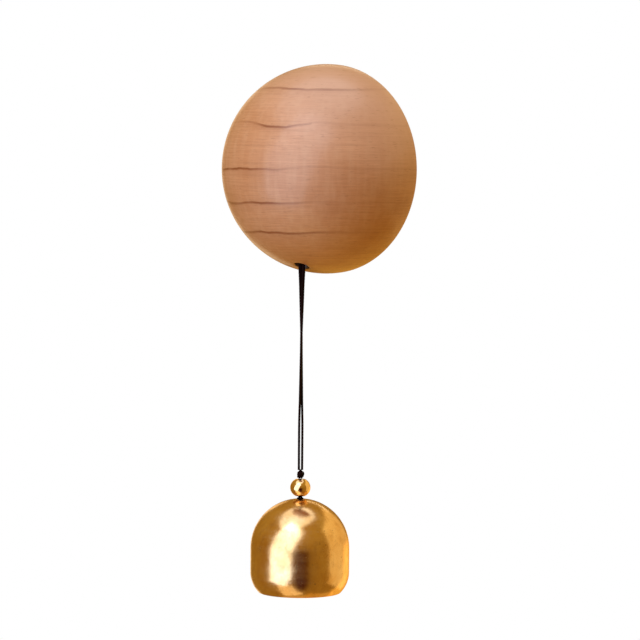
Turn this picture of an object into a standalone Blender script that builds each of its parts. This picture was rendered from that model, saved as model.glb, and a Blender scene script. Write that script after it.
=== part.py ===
"""Magnetic door chime: a flat-backed wooden ball that holds a brass bell on a doubled cord.

The door is the plane y = 0 and the room is on its -Y side, with +Z up and +X to the right as seen from
the room. The origin is the middle of the adhesive pad's back. All sizes are in metres.
"""
import math

import bmesh
import bpy
from mathutils import Vector

# ---- clearances ----
GAP = 0.0003                 # between two pieces that touch on the real object
EDGE = 0.0003                # bevel on the turned metal edges

# ---- wall side ----
PAD_RADIUS = 0.0190
PAD_THICKNESS = 0.0010
PLATE_RADIUS = 0.0200
PLATE_THICKNESS = 0.0010

# ---- ball ----
BALL_RADIUS = 0.0300
BALL_BACK = 0.0023           # the flat back lies this far behind the ball's middle
BALL_EDGE = 0.0008           # rounding where the ball meets its flat back
MAGNET_RADIUS = 0.0100
MAGNET_THICKNESS = 0.0050
BORE_CLEARANCE = 0.00034     # around the cord's loop in the bore
BORE_FORWARD = 0.0117        # the bore and the cord hang this far in front of the ball's middle
PIN_RADIUS = 0.0008
PIN_DROP = 0.0060            # the pin crosses the bore this far below the ball's middle
PIN_BEYOND = 0.0028          # how far the pin runs into the wood past the bore
LOOP_START_RISE = 0.0025     # the loop's strands stay close together this far up from the mouth
LOOP_START_SPREAD = 0.0002   # how far each has moved out by then
LOOP_FULL_RISE = 0.0080      # and they are as far apart as the pin needs from here up
LOOP_STRAIGHT = 0.0040       # straight part under the pin
LOOP_STEPS = 10              # pieces in the half turn over the pin
CUTTER_BEYOND = 0.0020       # how far a cutter runs past the face that it opens

# ---- cord ----
STRAND_RADIUS = 0.00033
CORD_RADIUS = 0.00060        # the two strands together, where a hole holds them
SWING_GAP = 0.00046          # half the gap that the side swing needs between the strands
MOUTH_GAP = 0.00025          # half the gap that the front swing needs at the hole
SIDE_SWING_DROP = 0.0049     # the side swing's pivot below the hole's mouth
STRAND_STEP = 0.0016         # distance between the points of a strand's tube
STRAND_END_SPACE = 0.0004    # a strand's cut end has no other point closer than this
# The right strand below the hole's mouth, in millimetres: x and y from the cord's axis, and the drop.
# The left strand is the same route turned half way round the axis.
STRAND_ROUTE = (
    (0.60, 0.00, 0.0),
    (0.58, 0.00, 1.1),
    (0.54, -0.02, 2.2),
    (0.50, -0.09, 3.9),
    (0.47, -0.14, 5.6),
    (0.44, -0.20, 9.0),
    (0.40, -0.27, 12.4),
    (0.28, -0.40, 19.3),
    (0.22, -0.44, 24.4),
    (0.11, -0.48, 31.0),
    (-0.03, -0.49, 38.1),
    (-0.14, -0.47, 41.5),
    (-0.25, -0.43, 45.0),
    (-0.28, -0.41, 51.0),
    (-0.27, -0.41, 57.1),
    (-0.26, -0.41, 58.05),
)
KNOT_RADIUS = 0.00115
KNOT_HEIGHT = 0.00200
KNOT_SHOULDER = 0.30         # a knot's rounding, as a share of its height

# ---- bead ----
BEAD_RADIUS = 0.0029
BEAD_FLATNESS = 0.94         # height over width before the hole takes its ends off
BEAD_HOLE_CLEARANCE = 0.0007

# ---- bell ----
BELL_RADIUS = 0.0141
BELL_WALL = 0.0012
BELL_STRAIGHT = 0.0069       # height of the straight wall under the dome
BELL_TUCK_RADIUS = 0.00825   # the wall curves in to the rim on this arc
BELL_TUCK_DROP = 0.0060
NECK_SHOWN = 0.0008          # cord that shows between the bead and the bell
NECK_KNOT_RADIUS = 0.0010
NECK_KNOT_HEIGHT = 0.00125
NECK_SHOULDER = 0.35         # the neck knot's rounding, as a share of its radius
WASHER_RADIUS = 0.0030
WASHER_HOLE_CLEARANCE = 0.0004
WASHER_THICKNESS = 0.0005
INNER_KNOT_RADIUS = 0.0016
INNER_KNOT_HEIGHT = 0.0023

# ---- clapper ----
CLAPPER_RADIUS = 0.0050
CLAPPER_DROP = 0.0104        # the clapper's middle below its swing's pivot
CLAPPER_GAP = 0.00028        # half the gap that the clapper's swing needs under the inner knot
CLAPPER_KNOT_RADIUS = 0.0009
CLAPPER_KNOT_HEIGHT = 0.0011

# ---- building ----
MM = 0.001                   # a millimetre
MERGE_DISTANCE = 0.00001     # points on a turned solid's axis this close become one
JOINT_MARK = 0.0050          # size of the mark at a joint

# ---- places worked out from the sizes above ----
plate_front = -(PAD_THICKNESS + GAP + PLATE_THICKNESS)
back_y = plate_front - GAP
ball_y = back_y - BALL_BACK
cord_y = ball_y - BORE_FORWARD
magnet_front = back_y - MAGNET_THICKNESS
pocket_floor = magnet_front - GAP
mouth_z = -math.sqrt(BALL_RADIUS ** 2 - BORE_FORWARD ** 2)
loop_radius = PIN_RADIUS + GAP + STRAND_RADIUS
bore_radius = loop_radius + STRAND_RADIUS + BORE_CLEARANCE
side_swing_z = mouth_z - SIDE_SWING_DROP
knot_top = mouth_z - STRAND_ROUTE[-1][2] * MM - GAP
knot_bottom = knot_top - KNOT_HEIGHT
bead_hole_radius = CORD_RADIUS + BEAD_HOLE_CLEARANCE
bead_half = BEAD_FLATNESS * math.sqrt(BEAD_RADIUS ** 2 - bead_hole_radius ** 2)
bead_z = knot_bottom - GAP - bead_half
bead_bottom = bead_z - bead_half
crown_edge = bead_bottom - NECK_SHOWN
crown_hole_radius = NECK_KNOT_RADIUS + GAP
dome_z = crown_edge - math.sqrt(BELL_RADIUS ** 2 - crown_hole_radius ** 2)
inner_radius = BELL_RADIUS - BELL_WALL
neck_top = bead_bottom - GAP
washer_top = dome_z + math.sqrt(inner_radius ** 2 - WASHER_RADIUS ** 2) - GAP
washer_bottom = washer_top - WASHER_THICKNESS
inner_knot_top = washer_bottom - GAP
inner_knot_bottom = inner_knot_top - INNER_KNOT_HEIGHT
crown_z = crown_edge - BELL_WALL / 2
clapper_pivot = inner_knot_bottom - CLAPPER_GAP
clapper_z = clapper_pivot - CLAPPER_DROP
clapper_hole_radius = CORD_RADIUS + GAP
clapper_half = math.sqrt(CLAPPER_RADIUS ** 2 - clapper_hole_radius ** 2)
clapper_knot_top = clapper_z - clapper_half - GAP


# ---- scene, materials and placing ----
def clear_scene():
    for obj in list(bpy.data.objects):
        bpy.data.objects.remove(obj, do_unlink=True)


def collection(name):
    made = bpy.data.collections.new(name)
    bpy.context.scene.collection.children.link(made)
    return made


def material(name, color, roughness, metallic=0.0):
    made = bpy.data.materials.new(name)
    made.use_nodes = True
    shader = made.node_tree.nodes["Principled BSDF"]
    shader.inputs["Base Color"].default_value = (*color, 1.0)
    shader.inputs["Roughness"].default_value = roughness
    shader.inputs["Metallic"].default_value = metallic
    return made


def joint(name, place, parent=None):
    """An empty on a joint's axis, which the pieces that the joint moves hang from."""
    empty = bpy.data.objects.new(name, None)
    empty.empty_display_size = JOINT_MARK
    parts.objects.link(empty)
    put(empty, place, parent)
    return empty


def put(obj, place, parent=None):
    """Put obj at place, in the object's own frame, as a child of parent."""
    obj["place"] = tuple(place)
    obj.parent = parent
    obj.location = Vector(place) - (Vector(parent["place"]) if parent else Vector())


def link(obj, finish=None, cutter=False):
    (cutters if cutter else parts).objects.link(obj)
    if cutter:
        obj.hide_render = True
        obj.display_type = "WIRE"
    else:
        obj.data.materials.append(finish)
    return obj


# ---- shapes ----
def arc(middle_r, middle_z, radius, start, end, steps, flatness=1.0):
    """Points (r, z) along an arc. Angles are in degrees above the outward direction."""
    turns = [math.radians(start + (end - start) * i / steps) for i in range(steps + 1)]
    return [
        (middle_r + radius * math.cos(a), middle_z + flatness * radius * math.sin(a))
        for a in turns
    ]


def turned(name, profile, finish, steps, ring=False):
    """A solid of revolution about its own Z axis. The profile's (r, z) points run down its outer side.
    A ring's profile also comes back up its inner side and closes."""
    mesh = bpy.data.meshes.new(name)
    edges = [(i, i + 1) for i in range(len(profile) - 1)]
    if ring:
        edges.append((len(profile) - 1, 0))
    mesh.from_pydata([(r, 0.0, z) for r, z in profile], edges, [])
    obj = link(bpy.data.objects.new(name, mesh), finish)
    screw = obj.modifiers.new("turn", "SCREW")
    screw.axis = "Z"
    screw.steps = steps
    screw.render_steps = steps
    screw.use_merge_vertices = True
    screw.merge_threshold = MERGE_DISTANCE
    screw.use_smooth_shade = True
    return obj


def disc(name, radius, thickness, finish, steps=40):
    """A flat disc with bevelled edges, centred on its own origin, with its axis along Z."""
    half = thickness / 2
    profile = [
        (0.0, half),
        (radius - EDGE, half),
        (radius, half - EDGE),
        (radius, EDGE - half),
        (radius - EDGE, -half),
        (0.0, -half),
    ]
    return turned(name, profile, finish, steps)


def tube_ring(name, outer, inner, height, finish, steps=24):
    """A flat ring centred on its own origin, with its axis along Z."""
    half = height / 2
    profile = [(inner, half), (outer, half), (outer, -half), (inner, -half)]
    return turned(name, profile, finish, steps, ring=True)


def barrel(name, radius, height, finish, steps=16):
    """A knot's plain solid: a barrel with round shoulders, centred on its own origin."""
    shoulder = height * KNOT_SHOULDER
    top = arc(radius - shoulder, height / 2 - shoulder, shoulder, 90, 0, 3)
    bottom = arc(radius - shoulder, shoulder - height / 2, shoulder, 0, -90, 3)
    return turned(name, [(0.0, height / 2)] + top + bottom + [(0.0, -height / 2)], finish, steps)


def bored_ball(name, radius, hole, finish, flatness=1.0, steps=32, rings=14):
    """A ball with a hole along its Z axis, centred on its own origin."""
    end = math.degrees(math.acos(hole / radius))
    return turned(name, arc(0.0, 0.0, radius, end, -end, rings, flatness), finish, steps, ring=True)


def cylinder(name, radius, low, high, finish=None, cutter=False, sides=24):
    """A cylinder from the point low to the point high."""
    mesh = bpy.data.meshes.new(name)
    shape = bmesh.new()
    length = (Vector(high) - Vector(low)).length
    bmesh.ops.create_cone(
        shape, cap_ends=True, segments=sides, radius1=radius, radius2=radius, depth=length
    )
    shape.to_mesh(mesh)
    shape.free()
    obj = link(bpy.data.objects.new(name, mesh), finish, cutter)
    obj.rotation_mode = "QUATERNION"
    obj.rotation_quaternion = (Vector(high) - Vector(low)).to_track_quat("Z", "Y")
    put(obj, (Vector(low) + Vector(high)) / 2)
    return obj


def smooth_route(points, step):
    """Points about a step apart on a smooth curve through the route's own points."""
    fine = []
    for i in range(len(points) - 1):
        before = points[max(i - 1, 0)]
        start, end = points[i], points[i + 1]
        after = points[min(i + 2, len(points) - 1)]
        count = max(1, round((end - start).length / step))
        for k in range(count):
            t = k / count
            fine.append(
                0.5
                * (
                    2 * start
                    + (end - before) * t
                    + (2 * before - 5 * start + 4 * end - after) * t ** 2
                    + (3 * start - before - 3 * end + after) * t ** 3
                )
            )
    fine.append(points[-1])
    return fine


def tube(name, points, radius, finish, origin, parent):
    """A round cord through the points, with its object's origin at origin."""
    curve = bpy.data.curves.new(name, "CURVE")
    curve.dimensions = "3D"
    curve.bevel_depth = radius
    curve.bevel_resolution = 2
    curve.use_fill_caps = True
    spline = curve.splines.new("POLY")
    spline.points.add(len(points) - 1)
    for slot, point in zip(spline.points, points):
        slot.co = (*(point - Vector(origin)), 1.0)
    obj = link(bpy.data.objects.new(name, curve), finish)
    put(obj, origin, parent)
    return obj


def cut(obj, cutter):
    knife = obj.modifiers.new(cutter.name, "BOOLEAN")
    knife.operation = "DIFFERENCE"
    knife.solver = "EXACT"
    knife.object = cutter


# ---- the wall side: what stays on the door ----
def make_wall_side():
    pad = disc("adhesive_pad", PAD_RADIUS, PAD_THICKNESS, foam)
    plate = disc("steel_plate", PLATE_RADIUS, PLATE_THICKNESS, steel)
    for obj, middle in ((pad, -PAD_THICKNESS / 2), (plate, plate_front + PLATE_THICKNESS / 2)):
        obj.rotation_euler.x = math.pi / 2
        put(obj, (0.0, middle, 0.0))


# ---- the ball, its magnet and the pin that the cord's loop hangs on ----
def make_ball(slide):
    edge_z = BALL_EDGE - BALL_BACK
    edge_r = math.sqrt((BALL_RADIUS - BALL_EDGE) ** 2 - edge_z ** 2)
    edge_angle = math.degrees(math.atan2(edge_z, edge_r))
    profile = arc(0.0, 0.0, BALL_RADIUS, 90, edge_angle, 18)
    profile += arc(edge_r, edge_z, BALL_EDGE, edge_angle, -90, 3)[1:]
    profile.append((0.0, -BALL_BACK))
    profile[0] = (0.0, BALL_RADIUS)
    ball = turned("wood_ball", profile, wood, 48)
    ball.rotation_euler.x = math.pi / 2
    put(ball, (0.0, ball_y, 0.0), slide)

    magnet = disc("magnet", MAGNET_RADIUS, MAGNET_THICKNESS, nickel)
    magnet.rotation_euler.x = math.pi / 2
    put(magnet, (0.0, back_y - MAGNET_THICKNESS / 2, 0.0), slide)

    pin_front = cord_y - bore_radius - PIN_BEYOND
    pin_back = pocket_floor - GAP
    pin_z = -PIN_DROP
    pin = cylinder("anchor_pin", PIN_RADIUS, (0, pin_front, pin_z), (0, pin_back, pin_z), steel, sides=24)
    put(pin, pin["place"], slide)

    outside = back_y + CUTTER_BEYOND
    bore_top = pin_z + loop_radius + STRAND_RADIUS + GAP
    pocket = cylinder(
        "pocket_cutter", MAGNET_RADIUS + GAP, (0, pocket_floor, 0), (0, outside, 0), cutter=True, sides=40
    )
    pin_hole = cylinder(
        "pin_hole_cutter", PIN_RADIUS + GAP, (0, pin_front - GAP, pin_z), (0, outside, pin_z), cutter=True
    )
    bore = cylinder("bore_cutter", bore_radius, (0, cord_y, -BALL_RADIUS), (0, cord_y, bore_top), cutter=True)
    for knife in (pocket, pin_hole, bore):
        cut(ball, knife)
    make_loop(slide, pin_z)


def make_loop(slide, pin_z):
    """The cord's bight in the bore: up one side, over the pin and down the other."""
    low_x = STRAND_ROUTE[0][0] * MM
    low_z = mouth_z + MOUTH_GAP
    side = [
        Vector((low_x, cord_y, low_z)),
        Vector((low_x + LOOP_START_SPREAD, cord_y, low_z + LOOP_START_RISE)),
        Vector((loop_radius, cord_y, low_z + LOOP_FULL_RISE)),
        Vector((loop_radius, cord_y, pin_z - LOOP_STRAIGHT)),
        Vector((loop_radius, cord_y, pin_z)),
    ]
    right = smooth_route(side, STRAND_STEP)
    over = [
        Vector((loop_radius * math.cos(a), cord_y, pin_z + loop_radius * math.sin(a)))
        for a in [math.pi * i / LOOP_STEPS for i in range(1, LOOP_STEPS)]
    ]
    left = [Vector((-p.x, p.y, p.z)) for p in reversed(right)]
    tube("cord_loop", right + over + left, STRAND_RADIUS, cord, (0.0, cord_y, pin_z), slide)


# ---- the hanging cord ----
def make_strands(front_swing, side_swing):
    """Two strands, each with a short top piece above the side swing's pivot and a long piece below."""
    stub_bottom = side_swing_z + SWING_GAP
    main_top = side_swing_z - SWING_GAP
    for side, turn in (("right", 1), ("left", -1)):
        route = [
            Vector((turn * x * MM, cord_y + turn * y * MM, mouth_z - drop * MM))
            for x, y, drop in STRAND_ROUTE
        ]
        fine = smooth_route(route, STRAND_STEP)
        top = stretch(fine, mouth_z - MOUTH_GAP, stub_bottom)
        main = stretch(fine, main_top, route[-1].z)
        exit_place = (0.0, cord_y, mouth_z)
        tube(f"cord_top_{side}", top, STRAND_RADIUS, cord, exit_place, front_swing)
        tube(f"cord_{side}", main, STRAND_RADIUS, cord, (0.0, cord_y, side_swing_z), side_swing)


def stretch(points, top, bottom):
    """The part of a falling line of points between two heights, with an end at each height."""
    inside = [p for p in points if bottom + STRAND_END_SPACE < p.z < top - STRAND_END_SPACE]
    return [at_height(points, top), *inside, at_height(points, bottom)]


def at_height(points, height):
    for above, below in zip(points, points[1:]):
        if above.z >= height >= below.z:
            return above.lerp(below, (above.z - height) / (above.z - below.z))
    return points[-1].copy()


def make_knot_and_bead(side_swing, bead_turn):
    knot = barrel("upper_knot", KNOT_RADIUS, KNOT_HEIGHT, cord)
    put(knot, (0.0, cord_y, (knot_top + knot_bottom) / 2), side_swing)
    inside = cylinder(
        "bead_cord", CORD_RADIUS, (0, cord_y, neck_top + GAP), (0, cord_y, knot_bottom - GAP), cord, sides=16
    )
    put(inside, inside["place"], side_swing)
    bead = bored_ball("bead", BEAD_RADIUS, bead_hole_radius, brass, BEAD_FLATNESS)
    put(bead, (0.0, cord_y, bead_z), bead_turn)


# ---- the bell ----
def make_neck(bell_turn):
    """The knot in the crown's hole, with the cord that runs on down through the washer."""
    shoulder = NECK_KNOT_RADIUS * NECK_SHOULDER
    belly_bottom = neck_top - NECK_KNOT_HEIGHT
    profile = [(0.0, neck_top)]
    profile += arc(NECK_KNOT_RADIUS - shoulder, neck_top - shoulder, shoulder, 90, 0, 3)
    profile += [
        (NECK_KNOT_RADIUS, belly_bottom + shoulder),
        (CORD_RADIUS, belly_bottom),
        (CORD_RADIUS, washer_bottom),
        (0.0, washer_bottom),
    ]
    shape = turned("neck_knot", [(r, z - crown_z) for r, z in profile], cord, 16)
    put(shape, (0.0, cord_y, crown_z), bell_turn)


def make_bell(bell_tilt):
    """A spun shell of one thickness: a dome, a straight wall and a rim that tucks in."""
    outer_hole = math.degrees(math.acos(crown_hole_radius / BELL_RADIUS))
    inner_hole = math.degrees(math.acos(crown_hole_radius / inner_radius))
    wall_bottom = dome_z - BELL_STRAIGHT
    tuck_r = BELL_RADIUS - BELL_TUCK_RADIUS
    tuck_end = -math.degrees(math.asin(BELL_TUCK_DROP / BELL_TUCK_RADIUS))
    outer = arc(0.0, dome_z, BELL_RADIUS, outer_hole, 0, 12)
    outer += arc(tuck_r, wall_bottom, BELL_TUCK_RADIUS, 0, tuck_end, 4)
    inner = arc(tuck_r, wall_bottom, BELL_TUCK_RADIUS - BELL_WALL, tuck_end, 0, 4)
    inner += arc(0.0, dome_z, inner_radius, 0, inner_hole, 12)
    profile = [(r, z - crown_z) for r, z in outer + inner]
    bell = turned("bell", profile, brass, 48, ring=True)
    put(bell, (0.0, cord_y, crown_z), bell_tilt)

    washer_hole_radius = CORD_RADIUS + WASHER_HOLE_CLEARANCE
    washer = tube_ring("washer", WASHER_RADIUS, washer_hole_radius, WASHER_THICKNESS, brass)
    put(washer, (0.0, cord_y, (washer_top + washer_bottom) / 2), bell_tilt)


# ---- the clapper ----
def make_clapper(clapper_turn, clapper_swing):
    knot = barrel("inner_knot", INNER_KNOT_RADIUS, INNER_KNOT_HEIGHT, cord)
    put(knot, (0.0, cord_y, (inner_knot_top + inner_knot_bottom) / 2), clapper_turn)
    line = cylinder(
        "clapper_cord",
        CORD_RADIUS,
        (0, cord_y, clapper_knot_top + GAP),
        (0, cord_y, clapper_pivot - CLAPPER_GAP),
        cord,
        sides=16,
    )
    put(line, line["place"], clapper_swing)
    clapper = bored_ball("clapper", CLAPPER_RADIUS, clapper_hole_radius, brass)
    put(clapper, (0.0, cord_y, clapper_z), clapper_swing)
    stop = barrel("clapper_knot", CLAPPER_KNOT_RADIUS, CLAPPER_KNOT_HEIGHT, cord)
    put(stop, (0.0, cord_y, clapper_knot_top - CLAPPER_KNOT_HEIGHT / 2), clapper_swing)


clear_scene()
parts = collection("door_chime")
cutters = collection("cutters")

wood = material("beech", (0.63, 0.36, 0.23), 0.45)
brass = material("brass", (0.75, 0.48, 0.16), 0.28, 1.0)
steel = material("zinc_steel", (0.62, 0.62, 0.63), 0.35, 1.0)
nickel = material("nickel", (0.72, 0.70, 0.66), 0.18, 1.0)
foam = material("foam_tape", (0.80, 0.80, 0.78), 0.85)
cord = material("waxed_cord", (0.025, 0.012, 0.012), 0.6)

ball_slide = joint("ball_slide", (0.0, back_y, 0.0))
front_swing = joint("front_swing", (0.0, cord_y, mouth_z), ball_slide)
side_swing = joint("side_swing", (0.0, cord_y, side_swing_z), front_swing)
bead_turn = joint("bead_turn", (0.0, cord_y, bead_z), side_swing)
bell_turn = joint("bell_turn", (0.0, cord_y, crown_z), side_swing)
bell_tilt = joint("bell_tilt", (0.0, cord_y, crown_z), bell_turn)
clapper_turn = joint("clapper_turn", (0.0, cord_y, inner_knot_top), bell_tilt)
clapper_swing = joint("clapper_swing", (0.0, cord_y, clapper_pivot), clapper_turn)

make_wall_side()
make_ball(ball_slide)
make_strands(front_swing, side_swing)
make_knot_and_bead(side_swing, bead_turn)
make_neck(bell_turn)
make_bell(bell_tilt)
make_clapper(clapper_turn, clapper_swing)
bpy.context.view_layer.update()
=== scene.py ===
"""Looks for the magnetic door chime: a wooden ball, a doubled waxed cord, a brass bead and a brass bell.

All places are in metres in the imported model's frame: the door is the plane y = 0, the room is on its -Y
side and +Z is up. Sizes marked "as in the part" repeat the part's own.
"""
import math

import bmesh
import bpy
from mathutils import Matrix, Vector


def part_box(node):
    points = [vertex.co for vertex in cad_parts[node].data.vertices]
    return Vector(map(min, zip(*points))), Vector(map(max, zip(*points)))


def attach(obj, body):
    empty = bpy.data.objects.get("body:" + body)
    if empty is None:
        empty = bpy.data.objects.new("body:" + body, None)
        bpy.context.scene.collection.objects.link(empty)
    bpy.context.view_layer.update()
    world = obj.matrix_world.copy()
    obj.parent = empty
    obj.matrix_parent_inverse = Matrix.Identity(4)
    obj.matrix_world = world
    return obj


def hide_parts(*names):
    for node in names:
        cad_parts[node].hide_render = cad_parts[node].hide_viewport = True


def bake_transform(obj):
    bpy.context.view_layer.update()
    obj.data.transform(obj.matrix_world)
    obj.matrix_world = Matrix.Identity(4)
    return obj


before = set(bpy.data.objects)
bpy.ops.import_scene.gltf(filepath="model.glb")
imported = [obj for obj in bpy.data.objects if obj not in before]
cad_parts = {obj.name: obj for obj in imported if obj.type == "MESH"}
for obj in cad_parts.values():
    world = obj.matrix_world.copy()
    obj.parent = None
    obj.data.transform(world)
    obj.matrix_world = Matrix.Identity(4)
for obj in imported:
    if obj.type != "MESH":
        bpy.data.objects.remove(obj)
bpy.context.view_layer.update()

MM = 0.001
ON_AXIS = 0.0001 * MM          # a turned profile's point this close to the axis is on it

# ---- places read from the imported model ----
BALL_LOW, BALL_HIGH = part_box("wood_ball")
BELL_LOW, BELL_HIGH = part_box("bell")
BEAD_LOW, BEAD_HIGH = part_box("bead")
PAD_LOW, PAD_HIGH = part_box("adhesive_pad")
PLATE_LOW, PLATE_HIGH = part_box("steel_plate")
MAGNET_LOW, MAGNET_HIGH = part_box("magnet")
PIN_LOW, PIN_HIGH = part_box("anchor_pin")
WASHER_LOW, WASHER_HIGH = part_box("washer")
CLAPPER_LOW, CLAPPER_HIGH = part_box("clapper")
BALL_RADIUS = (BALL_HIGH[0] - BALL_LOW[0]) / 2
BALL_Y = BALL_LOW[1] + BALL_RADIUS
CORD_Y = (BELL_LOW[1] + BELL_HIGH[1]) / 2
PIN_Z = (PIN_LOW[2] + PIN_HIGH[2]) / 2

# ---- sizes, as in the part ----
GAP = 0.3 * MM
BALL_BACK = 2.3 * MM
BALL_EDGE = 0.8 * MM
MAGNET_THICKNESS = 5.0 * MM
BORE_RADIUS = 2.1 * MM
LOOP_RADIUS = 1.43 * MM
LOOP_STRAIGHT = 4.0 * MM
BEAD_HOLE_RADIUS = 1.3 * MM
BEAD_FLATNESS = 0.94
BELL_WALL = 1.2 * MM
BELL_STRAIGHT = 6.9 * MM
BELL_TUCK_RADIUS = 8.25 * MM
BELL_TUCK_DROP = 6.0 * MM
CROWN_HOLE_RADIUS = 1.3 * MM
CORD_RADIUS = 0.6 * MM
CLAPPER_HOLE_RADIUS = 0.9 * MM
WASHER_HOLE_RADIUS = 1.0 * MM
MOUTH_Z = -math.sqrt(BALL_RADIUS ** 2 - (BALL_Y - CORD_Y) ** 2)
# The right strand below the hole's mouth, as in the part: x and y from the cord's axis, and the drop.
STRAND_ROUTE = (
    (0.60, 0.00, 0.0),
    (0.58, 0.00, 1.1),
    (0.54, -0.02, 2.2),
    (0.50, -0.09, 3.9),
    (0.47, -0.14, 5.6),
    (0.44, -0.20, 9.0),
    (0.40, -0.27, 12.4),
    (0.28, -0.40, 19.3),
    (0.22, -0.44, 24.4),
    (0.11, -0.48, 31.0),
    (-0.03, -0.49, 38.1),
    (-0.14, -0.47, 41.5),
    (-0.25, -0.43, 45.0),
    (-0.28, -0.41, 51.0),
    (-0.27, -0.41, 57.1),
    (-0.26, -0.41, 58.05),
)

# ---- the flat strand and the knots ----
STRAND_WIDTH = 1.06 * MM
STRAND_THICKNESS = 0.68 * MM
STRAND_STEP = 0.30 * MM        # distance between the rings of a strand's mesh
STRAND_TURN_DROP = 11.0        # the strand turns its edge to the room within about this many millimetres
STRAND_FACE_ANGLE = 35.0       # the wide side's direction at the mouth, in degrees from +X
STRAND_SQUARENESS = 2.6        # 2 gives an oval section, and more gives a squarer one
# The right half of the loop inside the bore: x from the cord's axis and the rise above the mouth, in mm.
LOOP_ROUTE = ((0.60, -0.5), (0.60, 0.4), (0.80, 2.8), (1.43, 8.2))
LOOP_TURN_RISE = 12.0 * MM     # the loop has its wide side along +Y from here up
LOOP_TURN_POINTS = 18          # steps in the half turn over the pin
KNOT_POINTS = 96               # points round a tied knot's line
PAIR_PITCH = 2.6 * MM          # one full turn of two strands laid round each other
PAIR_STEP = 0.12 * MM          # distance between the rings of such a pair's mesh

# ---- turned pieces ----
BALL_STEPS = 160               # faces round the ball
BELL_STEPS = 160               # faces round the bell
POCKET_EDGE = 0.45 * MM        # rounding of the magnet's pocket
LOOP_HEADROOM = 0.63 * MM      # from the loop's line to the top of the bore
DRILL_LENGTH = 30 * MM         # the pin's hole, from the pin's front tip out through the back
CUT_SHARP_ANGLE = 32.0         # edges that turn by more degrees than this stay sharp after a cut
PIN_EDGE = 0.15 * MM
WASHER_EDGE = 0.16 * MM
CROWN_LIP = 0.12 * MM          # the bell's hole widens by this much at the top
RIM_MARGIN = 2.0               # the rim's rounding starts this many degrees before the tuck's end
RIM_BULGE = 0.42 * MM          # and it swells by this much
# The bore's lip in millimetres: how far it has widened, and how high above the ball's surface that is.
BORE_LIP = ((0.0, 0.30), (0.03, 0.17), (0.09, 0.07), (0.20, 0.01), (0.36, -0.05), (0.50, -1.6))

# ---- camera, at the photo's viewing angle: degrees, metres, and millimetres for the lens ----
CAMERA_AZIMUTH = 35.16
CAMERA_DISTANCE = 0.900
CAMERA_RISE = 0.0103
CAMERA_YAW = 0.095
CAMERA_PITCH = -3.413
CAMERA_ROLL = 0.439
CAMERA_LENS = 176.46
SENSOR = 36.0

# ---- light and floor ----
LIGHT_TARGET_Z = -0.04         # the lights point at this height, between the ball and the bell
FLOOR_DROP = -0.90
FLOOR_HALF = 3.0


# ================= camera =================
def direction(azimuth, elevation=0.0):
    """A unit vector from the object: azimuth 0 is towards the room (-Y), 90 is +X."""
    a, e = math.radians(azimuth), math.radians(elevation)
    return Vector((math.sin(a) * math.cos(e), -math.cos(a) * math.cos(e), math.sin(e)))


def make_camera():
    data = bpy.data.cameras.new("camera")
    data.sensor_width = SENSOR
    data.lens = CAMERA_LENS
    data.clip_start = 0.01
    data.clip_end = 50.0
    camera = bpy.data.objects.new("camera", data)
    bpy.context.scene.collection.objects.link(camera)
    place = Vector((0, BALL_Y, 0)) + CAMERA_DISTANCE * direction(CAMERA_AZIMUTH)
    place.z += CAMERA_RISE
    look = -direction(CAMERA_AZIMUTH + CAMERA_YAW, -CAMERA_PITCH)
    right = look.cross(Vector((0, 0, 1))).normalized()
    up = right.cross(look)
    roll = math.radians(CAMERA_ROLL)
    tilted_right = right * math.cos(roll) + up * math.sin(roll)
    tilted_up = up * math.cos(roll) - right * math.sin(roll)
    turn = Matrix((tilted_right, tilted_up, -look)).transposed()
    camera.matrix_world = Matrix.Translation(place) @ turn.to_4x4()
    bpy.context.scene.camera = camera


# ================= shapes =================
def add_mesh(name, points, faces, sharp=40.0):
    """A smooth-shaded object. Edges that turn by more than sharp degrees stay sharp."""
    mesh = bpy.data.meshes.new(name)
    mesh.from_pydata([tuple(p) for p in points], [], faces)
    mesh.shade_smooth()
    mesh.set_sharp_from_angle(angle=math.radians(sharp))
    obj = bpy.data.objects.new(name, mesh)
    bpy.context.scene.collection.objects.link(obj)
    return obj


def move(obj, place):
    """Moves an object's mesh. Its origin stays at the frame's, which the materials count from."""
    obj.data.transform(Matrix.Translation(Vector(place)))


def fix_outward(obj):
    """Turns every face's normal outward."""
    shape = bmesh.new()
    shape.from_mesh(obj.data)
    bmesh.ops.recalc_face_normals(shape, faces=shape.faces)
    shape.to_mesh(obj.data)
    shape.free()


def arc(middle_r, middle_z, radius, start, end, steps, flatness=1.0):
    """Points (r, z) along an arc. Angles are in degrees above the outward direction."""
    turns = [math.radians(start + (end - start) * i / steps) for i in range(steps + 1)]
    return [(middle_r + radius * math.cos(a), middle_z + flatness * radius * math.sin(a)) for a in turns]


def lathe(name, profile, steps=128, ring=False, to_wall=False):
    """A turned solid about Z, or about Y where to_wall lays the profile's height over towards the wall."""
    rows = []
    points = []
    for r, z in profile:
        if r < ON_AXIS:
            rows.append([len(points)])
            points.append(Vector((0, 0, z)))
            continue
        rows.append([len(points) + i for i in range(steps)])
        for i in range(steps):
            a = 2 * math.pi * i / steps
            points.append(Vector((r * math.cos(a), r * math.sin(a), z)))
    faces = []
    pairs = list(zip(rows, rows[1:]))
    if ring:
        pairs.append((rows[-1], rows[0]))
    for high, low in pairs:
        for i in range(steps):
            k = (i + 1) % steps
            if len(high) == 1 and len(low) > 1:
                faces.append((high[0], low[i], low[k]))
            elif len(low) == 1 and len(high) > 1:
                faces.append((low[0], high[k], high[i]))
            elif len(high) > 1:
                faces.append((high[i], low[i], low[k], high[k]))
    if to_wall:
        points = [Vector((p.x, p.z, -p.y)) for p in points]
        faces = [tuple(reversed(f)) for f in faces]
    obj = add_mesh(name, points, faces)
    fix_outward(obj)
    return obj


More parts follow.
